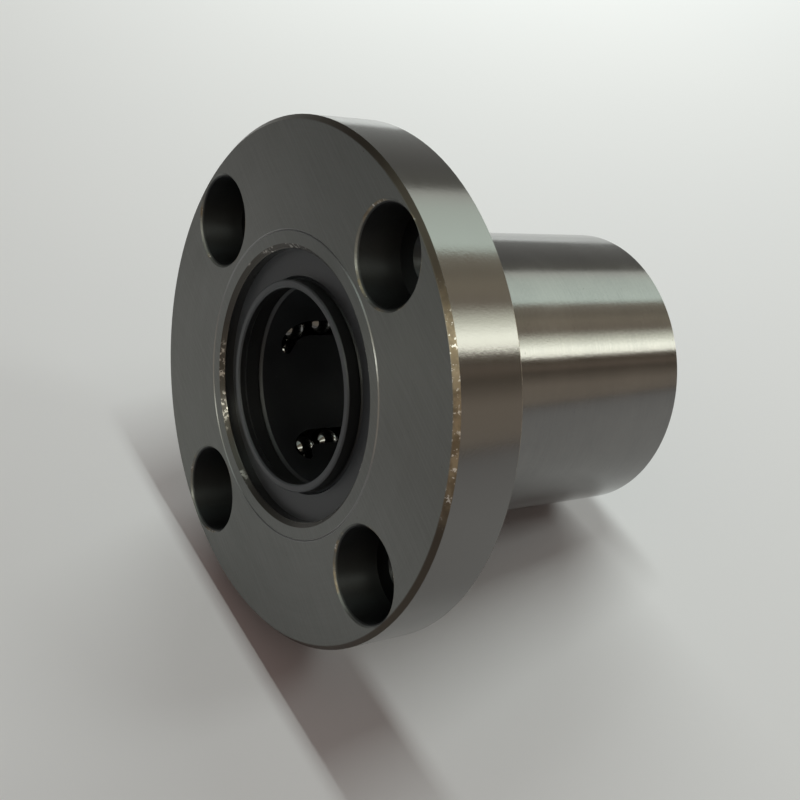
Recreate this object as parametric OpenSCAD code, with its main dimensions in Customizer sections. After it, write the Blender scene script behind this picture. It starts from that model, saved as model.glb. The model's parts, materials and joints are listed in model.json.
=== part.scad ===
// Flanged linear ball bushing with closed ball circuits and a seal at each end.
// The bore axis lies along +X. The origin is where it crosses the flange's mounting face, and the
// sleeve points to +X. Everything is drawn along a local z that starts at the outer face of the
// flange, and place() puts it in that frame.

/* [Shaft and balls] */
// Diameter of the shaft that runs in the bushing
shaft_d = 20; // [19.5:0.1:20.5]
// Diameter of one ball
ball_d = 3.175; // [3:0.025:3.2]
// Radius of the half circle in which a circuit turns back
turn_r = 2.3; // [2.3:0.02:2.4]
// Balls in the loaded row of one circuit, and again in its return row
row_balls = 7; // [5:1:7]
// How much further out than the shaft's surface the middle of a returning ball runs
return_lift = 2.35; // [2.35:0.01:2.4]

/* [Sleeve] */
// Outside diameter of the sleeve
sleeve_d = 32; // [31.5:0.1:33]
// Length of the sleeve, from the flange's outer face to its free end
sleeve_len = 42; // [42:0.5:60]
// How much smaller in radius the sleeve is under the flange ring, which stops against the bevel
seat_step = 0.2; // [0.1:0.05:0.3]
// Chamfer on the outside of the free end
end_chamfer = 0.8; // [0.3:0.1:1]
// Chamfer at the mouth of each end bore
mouth_chamfer = 0.45; // [0.2:0.05:0.6]

/* [Flange] */
// Outside diameter of the flange
flange_d = 54; // [53:0.5:60]
// Thickness of the flange
flange_t = 8; // [7:0.5:10]
// Diameter of the circle through the screw holes
hole_circle_d = 43; // [42.5:0.1:44]
// Diameter of each screw hole
hole_d = 5.5; // [4.5:0.1:6]
// Diameter of the recess for each screw head
recess_d = 9.5; // [8:0.1:9.8]
// Depth of the recess for each screw head
recess_t = 5.1; // [4:0.1:5.5]
// Chamfer on both rims of the flange
rim_chamfer = 0.5; // [0.3:0.1:0.8]
// Angle of the first ball circuit from straight up, towards +Y; the flange turns with it
clock_angle = 11.5; // [0:0.5:71.5]
// Angle between the first ball circuit and the nearest screw holes
hole_offset = 39; // [0:1:89]

/* [Seals and retaining rings] */
// How far the seal's flat annulus lies below the end face
seal_depth = 1.5; // [1.2:0.1:1.6]
// Thickness of the seal behind its annulus
seal_t = 1.1; // [1:0.05:1.1]
// Gap between the shaft's surface and the seal lip
lip_gap = 0.05; // [0.05:0.01:0.1]
// Outside radius of the seal lip over the shaft's radius
lip_w = 0.85; // [0.7:0.05:1]
// Thickness of a retaining ring
ring_t = 0.9; // [0.7:0.05:0.9]
// Opening between the ends of a retaining ring, as an angle
ring_opening = 24; // [15:1:40]

/* [Hidden] */
$fn = 96;
CIRCUITS = [1, 2, 3, 4, 5];

FRONT = 0;
REAR = 1;
overcut = 1;

shaft_r = shaft_d / 2;
ball_r = ball_d / 2;
sleeve_r = sleeve_d / 2;
seat_r = sleeve_r - seat_step;
seat_end = flange_t - seat_step;
flange_r = flange_d / 2;
middle = sleeve_len / 2;

// The balls leave the shaft a little room, as in a bushing of the clearance class.
shaft_gap = 0.01;

// Ball path: two straight lanes joined by two half circles, all in one plane.
// A quarter of a half circle's length is half a pitch, so the straight lanes and the half circles
// each hold a whole number of balls and every joint between them lies halfway between two balls.
pitch = PI * turn_r / 2;
lane_half = row_balls * pitch / 2;
loaded_r = shaft_r + shaft_gap + ball_r;
return_r = shaft_r + return_lift;
lane_angle = acos((loaded_r * loaded_r + return_r * return_r - 4 * turn_r * turn_r)
    / (2 * loaded_r * return_r));
loaded_at = [loaded_r, 0];
return_at = return_r * [cos(lane_angle), -sin(lane_angle)];
turn_at = (loaded_at + return_at) / 2;
lane_tilt = atan2(return_at[1] - loaded_at[1], return_at[0] - loaded_at[0]);

// Clearances
raceway_gap = 0.01;
groove_gap = 0.12;
lane_gap = 0.08;
land_setback = 0.3;
land_lead = 0.5;

raceway_r = loaded_r + ball_r + raceway_gap;
end_bore_r = return_r + ball_r + 0.0625;
land_half = lane_half - land_setback;
seam_chamfer = 0.12;
recess_chamfer = 0.3;

// Stack of pieces behind each end face
seal_back = seal_depth + seal_t;
plate_t = 0.4;
plate_inner_r = shaft_r + 1.5;
ring_front = seal_back + 0.2;
ring_groove_gap = 0.05;
ring_groove_r = end_bore_r + 0.7;
ring_outer_r = ring_groove_r - 0.1;
ring_inner_r = shaft_r + 2.6;

// Ball retainer
retainer_inner_r = shaft_r + 0.3;
retainer_outer_r = raceway_r - 0.135;
nose_r = ring_inner_r - 0.3;
nose_front = ring_front;
nose_t = ring_t + 0.1;
nose_chamfer = 0.3;
mouth_w = ball_d - 0.175;
mouth_reach = ball_d;

// Seal lip
lip_inner_r = shaft_r + lip_gap;
lip_outer_r = shaft_r + lip_w;
lip_round = 0.15;
lip_land = 0.75;
seal_bore_r = shaft_r + 0.4;
crease_w = 0.4;
crease_t = 0.35;

steel_grey = [0.50, 0.50, 0.49];
bright_steel = [0.62, 0.62, 0.61];
ball_steel = [0.80, 0.80, 0.80];
resin_black = [0.07, 0.07, 0.08];
rubber_black = [0.13, 0.13, 0.14];
spring_grey = [0.35, 0.35, 0.36];

// Puts a piece drawn along local z, from the flange's outer face, in the part's frame.
module place()
    rotate([0, 90, 0])
        rotate([0, 0, 180 - clock_angle])
            translate([0, 0, -flange_t])
                children();

// Puts a piece drawn inwards from an end face at the front or the rear end.
module at_end(end)
    translate([0, 0, end * sleeve_len])
        rotate([end * 180, 0, 0])
            children();

module at_circuit(i)
    rotate([0, 0, (i - 1) * 360 / len(CIRCUITS)])
        translate([0, 0, middle])
            children();

// Round bar with a chamfer at each end.
module bar(r, length, chamfer_low, chamfer_high)
    rotate_extrude()
        polygon([
            [0, 0], [r - chamfer_low, 0], [r, chamfer_low],
            [r, length - chamfer_high], [r - chamfer_high, length], [0, length]
        ]);

// Round cutter that widens by a chamfer at its mouth, where z is 0.
module chamfered_hole(r, depth, chamfer)
    rotate_extrude()
        polygon([
            [0, -overcut], [r + chamfer + overcut, -overcut], [r, chamfer],
            [r, depth], [0, depth]
        ]);

// The bore from one end face to the raceway land, with the groove of its retaining ring.
module end_bore() {
    depth = middle - land_half;
    chamfered_hole(end_bore_r, depth - land_lead, mouth_chamfer);
    translate([0, 0, depth - land_lead])
        cylinder(r1 = end_bore_r, r2 = raceway_r, h = land_lead);
    translate([0, 0, ring_front - ring_groove_gap])
        cylinder(r = ring_groove_r, h = ring_t + 2 * ring_groove_gap);
}

module outer_sleeve()
    color(bright_steel)
        place()
            difference() {
                union() {
                    bar(seat_r, flange_t, seam_chamfer, 0);
                    translate([0, 0, seat_end])
                        bar(sleeve_r, sleeve_len - seat_end, seat_step, end_chamfer);
                }
                translate([0, 0, -overcut])
                    cylinder(r = raceway_r, h = sleeve_len + 2 * overcut);
                at_end(FRONT) end_bore();
                at_end(REAR) end_bore();
                for (i = CIRCUITS)
                    at_circuit(i)
                        translate([return_at[0], return_at[1], -land_half - land_lead])
                            cylinder(r = ball_r + groove_gap, h = 2 * (land_half + land_lead));
            }

module screw_hole() {
    chamfered_hole(recess_d / 2, recess_t, recess_chamfer);
    cylinder(d = hole_d, h = flange_t + overcut);
}

module flange()
    color(steel_grey)
        place()
            difference() {
                bar(flange_r, flange_t, rim_chamfer, rim_chamfer);
                chamfered_hole(seat_r, flange_t, seam_chamfer);
                translate([0, 0, seat_end])
                    cylinder(r1 = seat_r, r2 = sleeve_r + overcut, h = seat_step + overcut);
                for (a = [0 : 90 : 270])
                    rotate([0, 0, a + hole_offset])
                        translate([hole_circle_d / 2, 0, 0])
                            screw_hole();
            }

// Sweeps a 2D section along the two lanes and round the two half circles of a circuit, in the
// circuit's own plane. The section's x lies in that plane and its y points outwards.
module along_lanes()
    for (side = [-1, 1])
        translate([side * turn_r, 0, -lane_half])
            linear_extrude(2 * lane_half)
                children();

module around_turns()
    for (side = [-1, 1])
        translate([0, 0, side * lane_half])
            rotate([side * 90, 0, 0])
                rotate_extrude(angle = 180)
                    translate([turn_r, 0])
                        mirror([0, (side + 1) / 2])
                            children();

module channel_mouth()
    translate([-mouth_w / 2, 0])
        square([mouth_w, mouth_reach]);

// The space that one circuit's balls need in the retainer: a closed round channel, open outwards.
module ball_channel()
    translate([turn_at[0], turn_at[1], 0])
        rotate([0, 0, lane_tilt]) {
            along_lanes() circle(r = ball_r + lane_gap);
            around_turns() circle(r = ball_r + lane_gap);
            along_lanes() channel_mouth();
            around_turns() channel_mouth();
        }

module ball_retainer()
    color(resin_black)
        place()
            difference() {
                union() {
                    translate([0, 0, nose_front])
                        cylinder(r = nose_r, h = sleeve_len - 2 * nose_front);
                    translate([0, 0, nose_front + nose_t])
                        cylinder(r = retainer_outer_r, h = sleeve_len - 2 * (nose_front + nose_t));
                }
                cylinder(r = retainer_inner_r, h = sleeve_len);
                for (end = [FRONT, REAR])
                    at_end(end)
                        translate([0, 0, nose_front])
                            chamfered_hole(retainer_inner_r, overcut, nose_chamfer);
                for (i = CIRCUITS)
                    at_circuit(i)
                        ball_channel();
            }

// Rubber of one seal: a flat annulus, a crease and a lip that stands out to the end face.
module seal_lip(end)
    color(rubber_black)
        place()
            at_end(end)
                rotate_extrude()
                    polygon([
                        [end_bore_r, seal_depth],
                        [end_bore_r, seal_back - plate_t],
                        [plate_inner_r, seal_back - plate_t],
                        [plate_inner_r, seal_back],
                        [seal_bore_r, seal_back],
                        [seal_bore_r, lip_land + seal_bore_r - lip_inner_r],
                        [lip_inner_r, lip_land],
                        [lip_inner_r, lip_round],
                        [lip_inner_r + lip_round, 0],
                        [lip_outer_r - lip_round, 0],
                        [lip_outer_r, lip_round],
                        [lip_outer_r, seal_depth],
                        [lip_outer_r + crease_w / 2, seal_depth + crease_t],
                        [lip_outer_r + crease_w, seal_depth]
                    ]);

// Steel plate bonded to the back of a seal.
module seal_plate(end)
    color(spring_grey)
        place()
            at_end(end)
                translate([0, 0, seal_back - plate_t])
                    difference() {
                        cylinder(r = end_bore_r, h = plate_t);
                        translate([0, 0, -overcut])
                            cylinder(r = plate_inner_r, h = plate_t + 2 * overcut);
                    }

// Sprung open ring in its groove, between the seal and the retainer's shoulder.
module retaining_ring(end)
    color(spring_grey)
        place()
            at_end(end)
                translate([0, 0, ring_front])
                    rotate([0, 0, ring_opening / 2])
                        rotate_extrude(angle = 360 - ring_opening)
                            translate([ring_inner_r, 0])
                                square([ring_outer_r - ring_inner_r, ring_t]);

// A straight row of balls at one lane of a circuit.
module ball_row(i, at)
    color(ball_steel)
        place()
            at_circuit(i)
                for (k = [0 : row_balls - 1])
                    translate([at[0], at[1], (k - (row_balls - 1) / 2) * pitch])
                        sphere(r = ball_r);

// The two balls in the half circle at the front (-1) or the rear (1) end of a circuit.
module turn_balls(i, side)
    color(ball_steel)
        place()
            at_circuit(i)
                translate([turn_at[0], turn_at[1], side * lane_half])
                    rotate([0, 0, lane_tilt])
                        for (a = [-45, 45])
                            translate([turn_r * sin(a), 0, side * turn_r * cos(a)])
                                sphere(r = ball_r);

outer_sleeve();
flange();
ball_retainer();
seal_lip(FRONT);  // front_seal_lip
seal_lip(REAR);  // rear_seal_lip
seal_plate(FRONT);  // front_seal_plate
seal_plate(REAR);  // rear_seal_plate
retaining_ring(FRONT);  // front_retaining_ring
retaining_ring(REAR);  // rear_retaining_ring
for (i = CIRCUITS) {
    ball_row(i, loaded_at);
    ball_row(i, return_at);
    turn_balls(i, -1);
    turn_balls(i, 1);
}
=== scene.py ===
# Looks, light and camera for the flanged linear ball bushing.
# All places are in metres in the part's own frame: the bore axis is X, the flange's mounting face
# is at x = 0 and the sleeve points to +X. Every shape is the CAD's own; this file adds the finish.
import json
import math

import bpy
from mathutils import Matrix, Vector


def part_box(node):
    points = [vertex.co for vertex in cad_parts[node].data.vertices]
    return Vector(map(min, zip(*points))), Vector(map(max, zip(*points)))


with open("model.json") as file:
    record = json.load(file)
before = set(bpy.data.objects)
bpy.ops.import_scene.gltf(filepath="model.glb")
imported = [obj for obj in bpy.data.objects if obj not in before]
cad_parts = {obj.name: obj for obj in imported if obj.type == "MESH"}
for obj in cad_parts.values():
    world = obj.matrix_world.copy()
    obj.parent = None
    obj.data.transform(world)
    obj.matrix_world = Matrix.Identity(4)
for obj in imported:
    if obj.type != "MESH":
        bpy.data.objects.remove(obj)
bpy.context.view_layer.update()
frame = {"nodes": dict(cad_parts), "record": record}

MM = 1000.0

FLANGE_LOW, FLANGE_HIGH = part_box("flange")
SLEEVE_LOW, SLEEVE_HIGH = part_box("outer_sleeve")
FLANGE_R = FLANGE_HIGH.z
SLEEVE_R = SLEEVE_HIGH.z
RIM_CHAMFER = 0.0005
END_CHAMFER = 0.0008

# The same places in mm, which the materials use.
RIM_R = (FLANGE_R - RIM_CHAMFER) * MM
FACE_X = FLANGE_LOW.x * MM
REAR_X = FLANGE_HIGH.x * MM
RIM_FRONT = (FLANGE_LOW.x + RIM_CHAMFER) * MM
RIM_BACK = (FLANGE_HIGH.x - RIM_CHAMFER) * MM
SLEEVE_END = (SLEEVE_HIGH.x - END_CHAMFER) * MM
END_X = SLEEVE_HIGH.x * MM
SMALLEST_R = 0.1
RECESS_R = 4.75
RECESS_WEAR = 0.34
NO_HOLE_NEAR = 99.0
SEAM_R = 15.8
SEAM_HALF = 0.13
MOUTH_LOW_R = 13.98
MOUTH_HIGH_R = 14.47
MOUTH_DEPTH = 0.46
LIP_R = 10.85
# The end face's finish is whole up to the first depth behind the face and gone at the second.
FACE_FINISH_DEPTH = (0.3, 0.5)

FACE_ROUGH = 0.36
RIM_ROUGH = 0.13
SLEEVE_ROUGH = 0.11
RECESS_ADDED_ROUGH = 0.15
BALL_ROUGH = 0.05
BALL_ROUGH_SWING = 0.08
BLACK_ROUGH = 0.34
BLACK_ROUGH_SWING = 0.16
BLACK_SPECULAR = 0.5
BLACK_COOLNESS = -0.13

# Depths of the finest marks, in metres, and how many stains, specks and spots there are to a mm.
FINE_MARK_DEPTH = 0.000003
COARSE_MARK_DEPTH = 0.000004
MOTTLE_DEPTH = 0.000016
BALL_MARK_DEPTH = 0.000001
STAINS_PER_MM = 0.11
SPECKS_PER_MM = 2.4
MOTTLE_PER_MM = 3.1
# Turns the stretched highlights from along the marks to across them.
QUARTER_TURN = 0.25


class Graph:
    """Adds shader nodes to one tree. An input given as a socket is linked, any other is set."""

    def __init__(self, tree):
        self.tree = tree
        tree.nodes.clear()

    def add(self, kind, inputs=None, out=0, **settings):
        made = self.tree.nodes.new("ShaderNode" + kind)
        for name, value in settings.items():
            setattr(made, name, value)
        for name, value in (inputs or {}).items():
            if isinstance(value, bpy.types.NodeSocket):
                self.tree.links.new(value, made.inputs[name])
            else:
                made.inputs[name].default_value = value
        return made.outputs[out] if made.outputs else None

    def math(self, operation, *values):
        return self.add("Math", dict(enumerate(values)), operation=operation)

    def ramp_between(self, value, low, high, to_low=0.0, to_high=1.0):
        return self.add(
            "MapRange",
            {0: value, 1: low, 2: high, 3: to_low, 4: to_high},
            interpolation_type="SMOOTHSTEP",
        )

    def vector(self, x, y, z):
        return self.add("CombineXYZ", {0: x, 1: y, 2: z})

    def noise(self, vector, scale, detail=2.0, rough=0.5, w=None):
        inputs = {"Vector": vector, "Scale": scale, "Detail": detail, "Roughness": rough}
        if w is None:
            return self.add("TexNoise", inputs)
        inputs["W"] = w
        return self.add("TexNoise", inputs, noise_dimensions="4D")

    def mix(self, factor, a, b):
        """Blends two colours. A mix node's colour sockets come after those for numbers and vectors."""
        return self.add("Mix", {0: factor, 6: a, 7: b}, out=2, data_type="RGBA")

    def bump(self, height, distance, strength=1.0, under=None):
        inputs = {"Height": height, "Distance": distance, "Strength": strength}
        if under is not None:
            inputs["Normal"] = under
        return self.add("Bump", inputs)


def grey(value, warmth=0.0):
    """A grey with a little warmth, or coolness when warmth is negative."""
    return (value * (1 + warmth), value, value * (1 - warmth), 1.0)


FACE_STEEL = (0.157, 0.161, 0.154, 1.0)
FLANGE_LOW_STEEL = (0.152, 0.155, 0.148, 1.0)
FLANGE_HIGH_STEEL = (0.171, 0.174, 0.166, 1.0)
SLEEVE_LOW_STEEL = grey(0.155, 0.02)
SLEEVE_HIGH_STEEL = grey(0.19, 0.03)
RIM_STEEL = grey(0.17, 0.03)
BALL_LOW_STEEL = grey(0.12, 0.03)
BALL_HIGH_STEEL = grey(0.18, 0.01)
SPECK_STEEL = grey(0.04, 0.2)
SCRATCH_STEEL = grey(0.24)
WORN_STEEL = grey(0.6, 0.04)
GLINT_STEEL = grey(0.42, 0.06)
SEAM_PAINTED_LIGHT = grey(0.27)
RECESS_PAINTED_SHADE = grey(0.045, -0.03)
DARK_SKIN = (0.075, 0.062, 0.050, 1.0)
BROWN_SKIN = (0.15, 0.12, 0.085, 1.0)
TAN_SKIN = (0.28, 0.23, 0.165, 1.0)
MOUTH_SKIN = (0.08, 0.074, 0.067, 1.0)
END_CHAMFER_SKIN = (0.2, 0.18, 0.15, 1.0)
LIP_PAINTED_SHADE = grey(0.011, -0.08)
DUST = grey(0.22)

# The scratches on the ground face: their direction (y, z), and how many there are to a mm.
SCRATCH_RUN = (0.89, 0.45)
SCRATCHES_ALONG = 0.12
SCRATCHES_ACROSS = 4.5

# The part of the flange's rim chamfer that gets a painted highlight of lighter worn skin, by height
# over radius and by side; the rest of the chamfer is painted dark skin.
LIT_CHAMFER_UP = (0.1, 0.68)
LIT_CHAMFER_SIDE = (-0.3, -0.1)


def new_material(name):
    material = bpy.data.materials.new(name)
    material.use_nodes = True
    graph = Graph(material.node_tree)
    return material, graph


def close_material(graph, **inputs):
    """Ends a material's tree with a principled shader."""
    sockets = {name.replace("_", " "): value for name, value in inputs.items()}
    shader = graph.add("BsdfPrincipled", sockets)
    graph.add("OutputMaterial", {"Surface": shader})


def turned_places(graph):
    """Places on a turned piece in mm: the point, its x, its radius and its direction off the axis."""
    point = graph.add(
        "VectorMath",
        {0: graph.add("TexCoord", out="Object"), 1: (MM, MM, MM)},
        operation="MULTIPLY",
    )
    x, y, z = graph.add("SeparateXYZ", {0: point}).node.outputs
    squares = graph.math("ADD", graph.math("MULTIPLY", y, y), graph.math("MULTIPLY", z, z))
    radius = graph.math("SQRT", squares)
    not_zero = graph.math("MAXIMUM", radius, SMALLEST_R)
    side = graph.math("DIVIDE", y, not_zero)
    up = graph.math("DIVIDE", z, not_zero)
    return point, x, radius, side, up


def turning_marks(graph, places, per_mm, around):
    """Fine marks that run round the axis, as turning and grinding leave them."""
    _, x, radius, side, up = places
    round_axis = graph.vector(
        graph.math("MULTIPLY", x, per_mm),
        graph.math("MULTIPLY", side, around),
        graph.math("MULTIPLY", up, around),
    )
    return graph.noise(round_axis, 1.0, 3.0, 0.65, w=graph.math("MULTIPLY", radius, per_mm))


def turned_steel(name, low, high, per_mm, around, roughness, stretch, zones=None):
    """Ground or turned steel: marks round the axis, faint stains and specks.

    zones may change the colour and the roughness where a piece has other finishes.
    """
    material, graph = new_material(name)
    places = turned_places(graph)
    fine = turning_marks(graph, places, per_mm, around)
    coarse = turning_marks(graph, places, per_mm / 6, around * 0.6)
    stains = graph.noise(places[0], STAINS_PER_MM, 4.0, 0.6)
    specks = graph.noise(places[0], SPECKS_PER_MM, 2.0, 0.6)
    tone = graph.math("ADD", graph.math("MULTIPLY", fine, 0.4), graph.math("MULTIPLY", stains, 0.6))
    colour = graph.mix(graph.ramp_between(tone, 0.3, 0.7), low, high)
    colour = graph.mix(graph.ramp_between(specks, 0.73, 0.78, 0.0, 0.6), colour, SPECK_STEEL)
    mottle = graph.noise(places[0], MOTTLE_PER_MM, 3.0, 0.7)
    colour = graph.mix(graph.ramp_between(mottle, 0.4, 0.62, 0.0, 0.3), colour, high)
    swing = graph.math("ADD", graph.math("MULTIPLY", mottle, 0.5), graph.math("MULTIPLY", coarse, 0.5))
    swing = graph.math("ADD", 0.5, swing)
    smear = graph.ramp_between(stains, 0.5, 0.72, 0.0, 0.05)
    if zones is not None:
        colour, roughness = zones(graph, places, colour, roughness, specks)
    normal = graph.bump(mottle, MOTTLE_DEPTH, 0.25, graph.bump(fine, FINE_MARK_DEPTH, 0.3))
    close_material(
        graph,
        Base_Color=colour,
        Metallic=1.0,
        Roughness=graph.math("ADD", graph.math("MULTIPLY", swing, roughness), smear),
        Anisotropic=stretch,
        Anisotropic_Rotation=QUARTER_TURN,
        Normal=graph.bump(coarse, COARSE_MARK_DEPTH, 0.25, normal),
        Tangent=graph.add("Tangent", direction_type="RADIAL", axis="X"),
    )
    return material


def depth_from_ends(graph, places):
    """How far a place lies from the nearer flat end, in mm."""
    x = places[1]
    return graph.math("MINIMUM", graph.math("SUBTRACT", x, FACE_X), graph.math("SUBTRACT", END_X, x))


def ground_face(graph, places, colour):
    """Straight, faint scratches across the ground end face."""
    _, y, z = graph.add("SeparateXYZ", {0: places[0]}).node.outputs
    run_y, run_z = SCRATCH_RUN
    along = graph.math("ADD", graph.math("MULTIPLY", y, run_y), graph.math("MULTIPLY", z, run_z))
    across = graph.math("SUBTRACT", graph.math("MULTIPLY", z, run_y), graph.math("MULTIPLY", y, run_z))
    stretched = graph.vector(
        graph.math("MULTIPLY", along, SCRATCHES_ALONG),
        graph.math("MULTIPLY", across, SCRATCHES_ACROSS),
        0.0,
    )
    lines = graph.noise(stretched, 1.0, 3.0, 0.7)
    return graph.mix(graph.ramp_between(lines, 0.35, 0.7, 0.0, 0.25), colour, SCRATCH_STEEL)


def worn_skin(graph, places, specks):
    """Brown skin, worn to light metal in places."""
    smudge = graph.ramp_between(graph.noise(places[0], 0.5, 3.0, 0.6), 0.4, 0.6)
    brown = graph.mix(smudge, BROWN_SKIN, TAN_SKIN)
    return graph.mix(graph.ramp_between(specks, 0.58, 0.66), brown, WORN_STEEL)


def within(graph, value, low, high, soft=0.05):
    """1 where the value lies between low and high, with soft edges, and 0 elsewhere."""
    above = graph.ramp_between(value, low - soft, low + soft)
    below = graph.ramp_between(value, high - soft, high + soft, 1.0, 0.0)
    return graph.math("MULTIPLY", above, below)


def near_screw_holes(graph, places, reach):
    """1 within that many mm of the axis of a screw hole, except on the flange's rear face."""
    _, y, z = graph.add("SeparateXYZ", {0: places[0]}).node.outputs
    across = graph.vector(0.0, y, z)
    nearest = NO_HOLE_NEAR
    for hole in frame["record"]["physics"]["openings"]:
        low, high = (Vector(corner) * MM for corner in hole["box_m"])
        axis = (0.0, (low.y + high.y) / 2, (low.z + high.z) / 2)
        gap = graph.add("VectorMath", {0: across, 1: axis}, out="Value", operation="DISTANCE")
        nearest = graph.math("MINIMUM", gap, nearest)
    near = graph.ramp_between(nearest, reach - 0.06, reach + 0.06, 1.0, 0.0)
    before_rear = graph.ramp_between(places[1], REAR_X - 0.2, REAR_X - 0.1, 1.0, 0.0)
    return graph.math("MULTIPLY", near, before_rear)


def flange_zones(graph, places, colour, rough, specks):
    """The rim is ground finer than the faces, its chamfers show worn skin only as a painted highlight
    on their upper near side, the screw holes' edges are worn and their insides painted near-black as
    shade.
    """
    _, x, radius, side, up = places
    colour = ground_face(graph, places, colour)
    rim = graph.ramp_between(radius, RIM_R - 0.1, RIM_R + 0.1)
    straight = graph.math("MULTIPLY", rim, within(graph, x, RIM_FRONT, RIM_BACK))
    chamfer = graph.math("SUBTRACT", rim, straight)
    colour = graph.mix(straight, colour, RIM_STEEL)
    # Painted highlight: only the chamfer's upper near side, by height and side, gets the lighter worn
    # skin; elsewhere it is dark skin.
    painted_highlight = graph.math(
        "MULTIPLY",
        within(graph, up, *LIT_CHAMFER_UP, 0.12),
        graph.ramp_between(side, *LIT_CHAMFER_SIDE, 1.0, 0.0),
    )
    skin = worn_skin(graph, places, specks)
    colour = graph.mix(chamfer, colour, graph.mix(painted_highlight, DARK_SKIN, skin))
    # A few places along the edges of the screw holes are worn too.
    inside = near_screw_holes(graph, places, RECESS_R + 0.12)
    edge = graph.math("SUBTRACT", near_screw_holes(graph, places, RECESS_R + RECESS_WEAR), inside)
    patches = graph.ramp_between(graph.noise(places[0], 0.35, 2.0, 0.6), 0.5, 0.6, 0.0, 0.8)
    colour = graph.mix(graph.math("MULTIPLY", edge, patches), colour, skin)
    # Painted shade: the insides of the screw holes are made near-black.
    colour = graph.mix(inside, colour, RECESS_PAINTED_SHADE)
    rough = graph.math("SUBTRACT", rough, graph.math("MULTIPLY", straight, FACE_ROUGH - RIM_ROUGH))
    rough = graph.math("ADD", rough, graph.math("MULTIPLY", inside, RECESS_ADDED_ROUGH))
    return seam(graph, places, colour), rough


def seam(graph, places, colour):
    """The fine groove where the ring meets the sleeve is painted lighter, a painted highlight that
    hides its dark reflections.
    """
    groove = within(graph, places[2], SEAM_R - SEAM_HALF, SEAM_R + SEAM_HALF, 0.01)
    return graph.mix(groove, colour, SEAM_PAINTED_LIGHT)


def sleeve_zones(graph, places, colour, rough, specks):
    """The end in the flange is ground with its face, the free end's chamfer and the mouths differ."""
    _, x, radius, _, _ = places
    whole, gone = FACE_FINISH_DEPTH
    end = graph.ramp_between(x, FACE_X + whole, FACE_X + gone, 1.0, 0.0)
    colour = graph.mix(end, colour, ground_face(graph, places, FACE_STEEL))
    chamfer = graph.ramp_between(x, SLEEVE_END - 0.03, SLEEVE_END + 0.08)
    colour = graph.mix(graph.math("MULTIPLY", chamfer, 0.7), colour, END_CHAMFER_SKIN)
    colour = graph.mix(end, colour, seam(graph, places, colour))
    mouth = graph.math(
        "MULTIPLY",
        within(graph, radius, MOUTH_LOW_R, MOUTH_HIGH_R, 0.02),
        graph.ramp_between(depth_from_ends(graph, places), MOUTH_DEPTH, MOUTH_DEPTH + 0.03, 1.0, 0.0),
    )
    patches = graph.ramp_between(graph.noise(places[0], 0.3, 3.0, 0.6), 0.5, 0.62)
    glints = graph.math("MULTIPLY", patches, graph.ramp_between(specks, 0.5, 0.62))
    colour = graph.mix(mouth, colour, graph.mix(glints, MOUTH_SKIN, GLINT_STEEL))
    return colour, graph.math("ADD", rough, graph.math("MULTIPLY", end, FACE_ROUGH - SLEEVE_ROUGH))


def lip_zones(graph, places, colour):
    """The seal's standing lip is painted darker than its flat annulus as shade, except along the crest.
    """
    shaded_wall = graph.math(
        "MULTIPLY",
        graph.ramp_between(places[2], LIP_R + 0.02, LIP_R + 0.12, 1.0, 0.0),
        graph.ramp_between(depth_from_ends(graph, places), 0.05, 0.25),
    )
    return graph.mix(shaded_wall, colour, LIP_PAINTED_SHADE)


def moulded_black(name, base, grain_mm, depth, zones=None):
    """Black resin or rubber: fine grain, cloudy gloss and a little dust."""
    material, graph = new_material(name)
    places = turned_places(graph)
    point = places[0]
    grain = graph.noise(point, 1.0 / grain_mm, 3.0, 0.6)
    cloud = graph.noise(point, 0.3, 3.0, 0.5)
    dust = graph.noise(point, 5.0, 2.0, 0.7)
    colour = graph.mix(cloud, grey(base * 0.7, BLACK_COOLNESS), grey(base * 1.3, BLACK_COOLNESS))
    colour = graph.mix(graph.ramp_between(dust, 0.68, 0.78, 0.0, 0.35), colour, DUST)
    if zones is not None:
        colour = zones(graph, places, colour)
    rough = graph.math("ADD", BLACK_ROUGH, graph.math("MULTIPLY", cloud, BLACK_ROUGH_SWING))
    close_material(
        graph,
        Base_Color=colour,
        Roughness=rough,
        Specular_IOR_Level=BLACK_SPECULAR,
        Normal=graph.bump(grain, depth, 0.6),
    )
    return material


def lapped_ball(name):
    """Polished ball steel with hardly any marks and a film of oil."""
    material, graph = new_material(name)
    point = turned_places(graph)[0]
    film = graph.noise(point, 1.1, 3.0, 0.6)
    scratches = graph.noise(point, 9.0, 4.0, 0.7)
    colour = graph.mix(film, BALL_LOW_STEEL, BALL_HIGH_STEEL)
    rough = graph.math("ADD", BALL_ROUGH, graph.math("MULTIPLY", film, BALL_ROUGH_SWING))
    close_material(
        graph,
        Base_Color=colour,
        Metallic=1.0,
        Roughness=rough,
        Normal=graph.bump(scratches, BALL_MARK_DEPTH, 0.15),
    )
    return material


def dress(prefixes, material):
    """Gives the material to each CAD node whose name starts with one of the prefixes."""
    for name, shown in frame["nodes"].items():
        if name.startswith(prefixes):
            shown.data.materials.clear()
            shown.data.materials.append(material)


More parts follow.
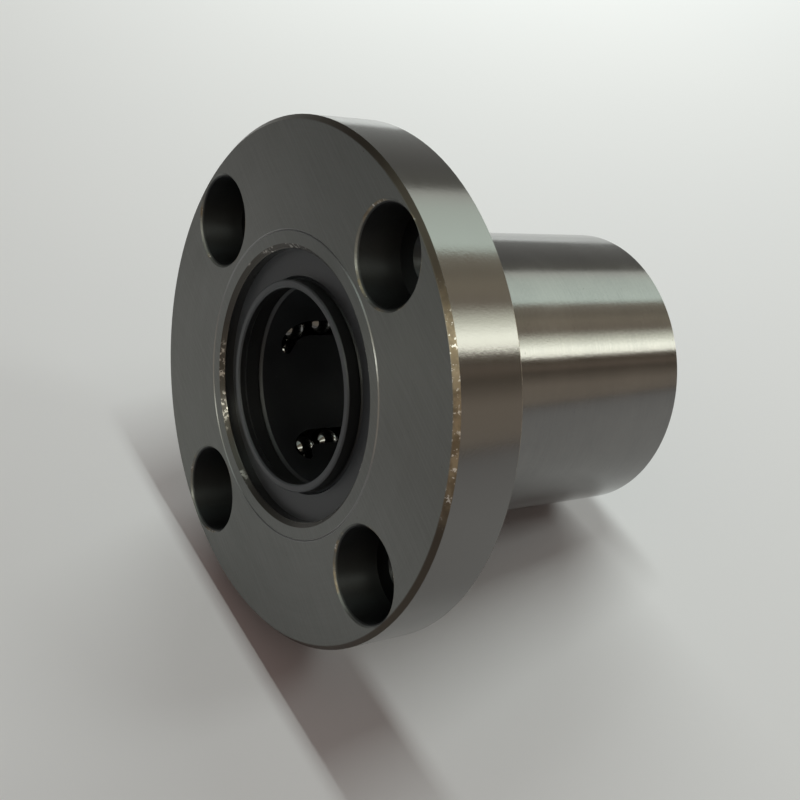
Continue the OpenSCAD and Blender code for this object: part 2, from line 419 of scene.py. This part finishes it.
def dress_all():
    dress(("outer_sleeve",), turned_steel(
        "sleeve_ground_steel", SLEEVE_LOW_STEEL, SLEEVE_HIGH_STEEL,
        per_mm=9.0, around=2.5, roughness=SLEEVE_ROUGH, stretch=0.75, zones=sleeve_zones,
    ))
    dress(("flange",), turned_steel(
        "flange_ground_steel", FLANGE_LOW_STEEL, FLANGE_HIGH_STEEL,
        per_mm=5.0, around=3.5, roughness=FACE_ROUGH, stretch=0.7, zones=flange_zones,
    ))
    dress(("ball_retainer",), moulded_black(
        "retainer_moulded_resin", base=0.026, grain_mm=0.2, depth=0.00002,
    ))
    dress(("front_seal_lip", "rear_seal_lip"), moulded_black(
        "seal_satin_rubber", base=0.07, grain_mm=0.12, depth=0.00001, zones=lip_zones,
    ))
    dress(("front_seal_plate", "rear_seal_plate"), turned_steel(
        "plate_pressed_steel", grey(0.2), grey(0.28),
        per_mm=3.0, around=1.5, roughness=0.4, stretch=0.2,
    ))
    dress(("front_retaining", "rear_retaining"), turned_steel(
        "ring_spring_steel", grey(0.06), grey(0.1),
        per_mm=3.0, around=1.5, roughness=0.45, stretch=0.2,
    ))
    dress(("loaded_balls", "return_balls", "front_turn", "rear_turn"), lapped_ball("ball_lapped_steel"))


# The part lies on the rear edge of its flange and the far edge of its sleeve, so the floor leans.
# It is also turned a little about the bore axis, which the shadow of the flange shows.
FLOOR_ROLL_DEGREES = 7.0
FLOOR_ROLL = Matrix.Rotation(math.radians(FLOOR_ROLL_DEGREES), 3, "X")
FLANGE_REST = FLOOR_ROLL @ Vector((FLANGE_HIGH.x - RIM_CHAMFER, 0.0, -FLANGE_R))
SLEEVE_REST = FLOOR_ROLL @ Vector((SLEEVE_HIGH.x - END_CHAMFER, 0.0, -SLEEVE_R))
FLOOR_ALONG = (SLEEVE_REST - FLANGE_REST).normalized()
FLOOR_ACROSS = FLOOR_ROLL @ Vector((0.0, 1.0, 0.0))
FLOOR_UP = FLOOR_ALONG.cross(FLOOR_ACROSS)
FLOOR_SIZE = 4.0
# The paper is whole up to the first distance from the part and gone at the second.
PAPER_FADE = (0.2, 0.5)
PAPER_SHADES = ((0.80, 0.80, 0.80, 1.0), (0.84, 0.835, 0.825, 1.0))


def paper():
    """Pale paper that fades into the backdrop.

    Its underside isn't drawn, so that a camera below it can see the part.
    """
    material, graph = new_material("pale_paper")
    point = graph.add("TexCoord", out="Object")
    fibre = graph.noise(point, 900.0, 4.0, 0.6)
    cloud = graph.noise(point, 9.0, 3.0, 0.5)
    colour = graph.mix(cloud, *PAPER_SHADES)
    front = graph.add("BsdfDiffuse", {"Color": colour, "Normal": graph.bump(fibre, 0.0001, 0.1)})
    clear = graph.add("BsdfTransparent")
    under = graph.add("NewGeometry", out="Backfacing")
    away = graph.add("VectorMath", {0: point}, out="Value", operation="LENGTH")
    mirrored_or_seen = graph.math("SUBTRACT", 1.0, graph.add("LightPath", out="Is Diffuse Ray"))
    fade = graph.math("MULTIPLY", graph.ramp_between(away, *PAPER_FADE), mirrored_or_seen)
    unseen = graph.math("MAXIMUM", under, fade)
    graph.add("OutputMaterial", {"Surface": graph.add("MixShader", {0: unseen, 1: front, 2: clear})})
    return material


def make_floor():
    bpy.ops.mesh.primitive_plane_add(size=FLOOR_SIZE)
    floor = bpy.context.object
    floor.name = "floor"
    floor.matrix_world = Matrix.Translation(FLANGE_REST) @ Matrix(
        (FLOOR_ALONG, FLOOR_ACROSS, FLOOR_UP)
    ).transposed().to_4x4()
    floor.data.materials.append(paper())


# The room as the part mirrors it: bands of light that run along X, by their angle from straight
# up towards -Y in degrees, each with its colour. Between two entries the colour blends.
ROOM_BANDS = (
    (-180, (0.24, 0.24, 0.23)),
    (-130, (0.70, 0.71, 0.68)),
    (-88, (0.22, 0.23, 0.22)),
    (-58, (0.17, 0.17, 0.16)),
    (-44, (0.15, 0.15, 0.14)),
    (-30, (0.17, 0.17, 0.15)),
    (-27, (0.74, 0.76, 0.70)),
    (-18, (0.90, 1.02, 0.92)),
    (2.5, (1.10, 1.28, 1.16)),
    (6, (0.38, 0.35, 0.28)),
    (14, (0.30, 0.27, 0.21)),
    (20, (0.38, 0.34, 0.26)),
    (29, (0.33, 0.29, 0.23)),
    (37, (1.50, 1.56, 1.32)),
    (43, (2.60, 2.70, 2.36)),
    (48, (2.30, 2.34, 2.05)),
    (50, (0.24, 0.20, 0.15)),
    (53, (0.12, 0.10, 0.075)),
    (57, (0.22, 0.18, 0.14)),
    (61, (0.13, 0.11, 0.085)),
    (72, (0.30, 0.26, 0.21)),
    (180, (0.24, 0.23, 0.21)),
)
ROOM_END_ALONG = (-0.55, 0.15)
ROOM_END_ACROSS = (-0.35, 0.05)
ROOM_END_DARK = 0.42
ROOM_GAIN = 1.85
ROOM_FILL = (0.150, 0.115, 0.106, 1.0)
BACKDROP = (0.66, 0.66, 0.66, 1.0)


def make_room():
    """Light from bands of soft panels overhead and at the sides, and a plain pale backdrop."""
    world = bpy.data.worlds.new("room")
    bpy.context.scene.world = world
    world.use_nodes = True
    # Without this, part of the mirrored room would also light the paper.
    world.cycles.sampling_method = "NONE"
    graph = Graph(world.node_tree)
    x, y, z = graph.add("SeparateXYZ", {0: graph.add("TexCoord", out="Generated")}).node.outputs
    angle = graph.math("ARCTAN2", graph.math("MULTIPLY", y, -1.0), z)
    turn = graph.math("ADD", graph.math("DIVIDE", angle, 2 * math.pi), 0.5)
    colour = graph.add("ValToRGB", {0: turn})
    ramp = colour.node.color_ramp
    while len(ramp.elements) < len(ROOM_BANDS):
        ramp.elements.new(0.5)
    for element, (degrees, shade) in zip(ramp.elements, ROOM_BANDS):
        element.position = degrees / 360 + 0.5
        element.color = (*shade, 1.0)
    # The far corner that the flange's face mirrors is dark.
    open_end = graph.ramp_between(x, *ROOM_END_ALONG, ROOM_END_DARK, 1.0)
    open_end = graph.ramp_between(y, *ROOM_END_ACROSS, 1.0, open_end)
    gain = graph.math("MULTIPLY", open_end, ROOM_GAIN)
    mirrored = graph.add("Background", {"Color": colour, "Strength": gain})
    fill = graph.add("Background", {"Color": ROOM_FILL, "Strength": 1.0})
    backdrop = graph.add("Background", {"Color": BACKDROP, "Strength": 1.0})
    seen = graph.add("LightPath", out="Is Camera Ray")
    diffuse = graph.add("LightPath", out="Is Diffuse Ray")
    lit = graph.add("MixShader", {0: diffuse, 1: mirrored, 2: fill})
    graph.add("OutputWorld", {"Surface": graph.add("MixShader", {0: seen, 1: lit, 2: backdrop})})


# A long lamp right above the flange casts the part's shadow, which is sharp along X and soft
# along Y. A wide soft panel beyond the part makes the far side of the paper brighter, and a weak
# lamp on the near side lightens the shadow under the sleeve. Each one's first side runs along X.
LAMP_AT = Vector((-0.0065, -0.010, 0.34))
LAMP_SIZE = (0.015, 0.20)
LAMP_WATTS = 0.47
FAR_PANEL_AT = Vector((0.125, 0.19, 0.19))
FAR_PANEL_SIZE = (0.2, 0.2)
FAR_PANEL_WATTS = 0.43
FILL_LAMP_AT = Vector((0.13, -0.20, 0.26))
FILL_LAMP_SIZE = (0.08, 0.08)
FILL_LAMP_WATTS = 0.125
LAMP_SIDE = Vector((1.0, 0.0, 0.0))
LAMP_COLOUR = (0.925, 1.0, 0.975)


def make_panel(name, place, size, watts):
    """An area light that faces the part and doesn't show in its mirror finish."""
    panel = bpy.data.objects.new(name, bpy.data.lights.new(name, "AREA"))
    bpy.context.scene.collection.objects.link(panel)
    panel.data.shape = "RECTANGLE"
    panel.data.size, panel.data.size_y = size
    panel.data.energy = watts
    panel.data.color = LAMP_COLOUR
    facing = (place - FLANGE_REST).normalized()
    along = (LAMP_SIDE - facing * LAMP_SIDE.dot(facing)).normalized()
    panel.matrix_world = Matrix.Translation(place) @ Matrix(
        (along, facing.cross(along), facing)
    ).transposed().to_4x4()
    panel.visible_glossy = False


CAMERA_PLACE = Vector((-0.0717, -0.0890, 0.0548))
CAMERA_RIGHT = Vector((0.7931, -0.5513, 0.2589))
CAMERA_UP = Vector((0.0853, 0.5214, 0.8490))
CAMERA_LENS = 53.68
CAMERA_SHIFT = (-0.0158, 0.0488)
CAMERA_SENSOR = 36.0
CAMERA_NEAR = 0.002


def make_camera():
    camera = bpy.data.objects.new("camera", bpy.data.cameras.new("camera"))
    bpy.context.scene.collection.objects.link(camera)
    camera.data.lens = CAMERA_LENS
    camera.data.sensor_width = CAMERA_SENSOR
    camera.data.shift_x, camera.data.shift_y = CAMERA_SHIFT
    camera.data.clip_start = CAMERA_NEAR
    right = CAMERA_RIGHT.normalized()
    back = right.cross(CAMERA_UP).normalized()
    camera.matrix_world = Matrix.Translation(CAMERA_PLACE) @ Matrix(
        (right, back.cross(right), back)
    ).transposed().to_4x4()
    bpy.context.scene.camera = camera


dress_all()
make_floor()
make_room()
make_panel("long_lamp", LAMP_AT, LAMP_SIZE, LAMP_WATTS)
make_panel("far_panel", FAR_PANEL_AT, FAR_PANEL_SIZE, FAR_PANEL_WATTS)
make_panel("fill_lamp", FILL_LAMP_AT, FILL_LAMP_SIZE, FILL_LAMP_WATTS)
make_camera()
bpy.context.scene.view_settings.view_transform = "Standard"
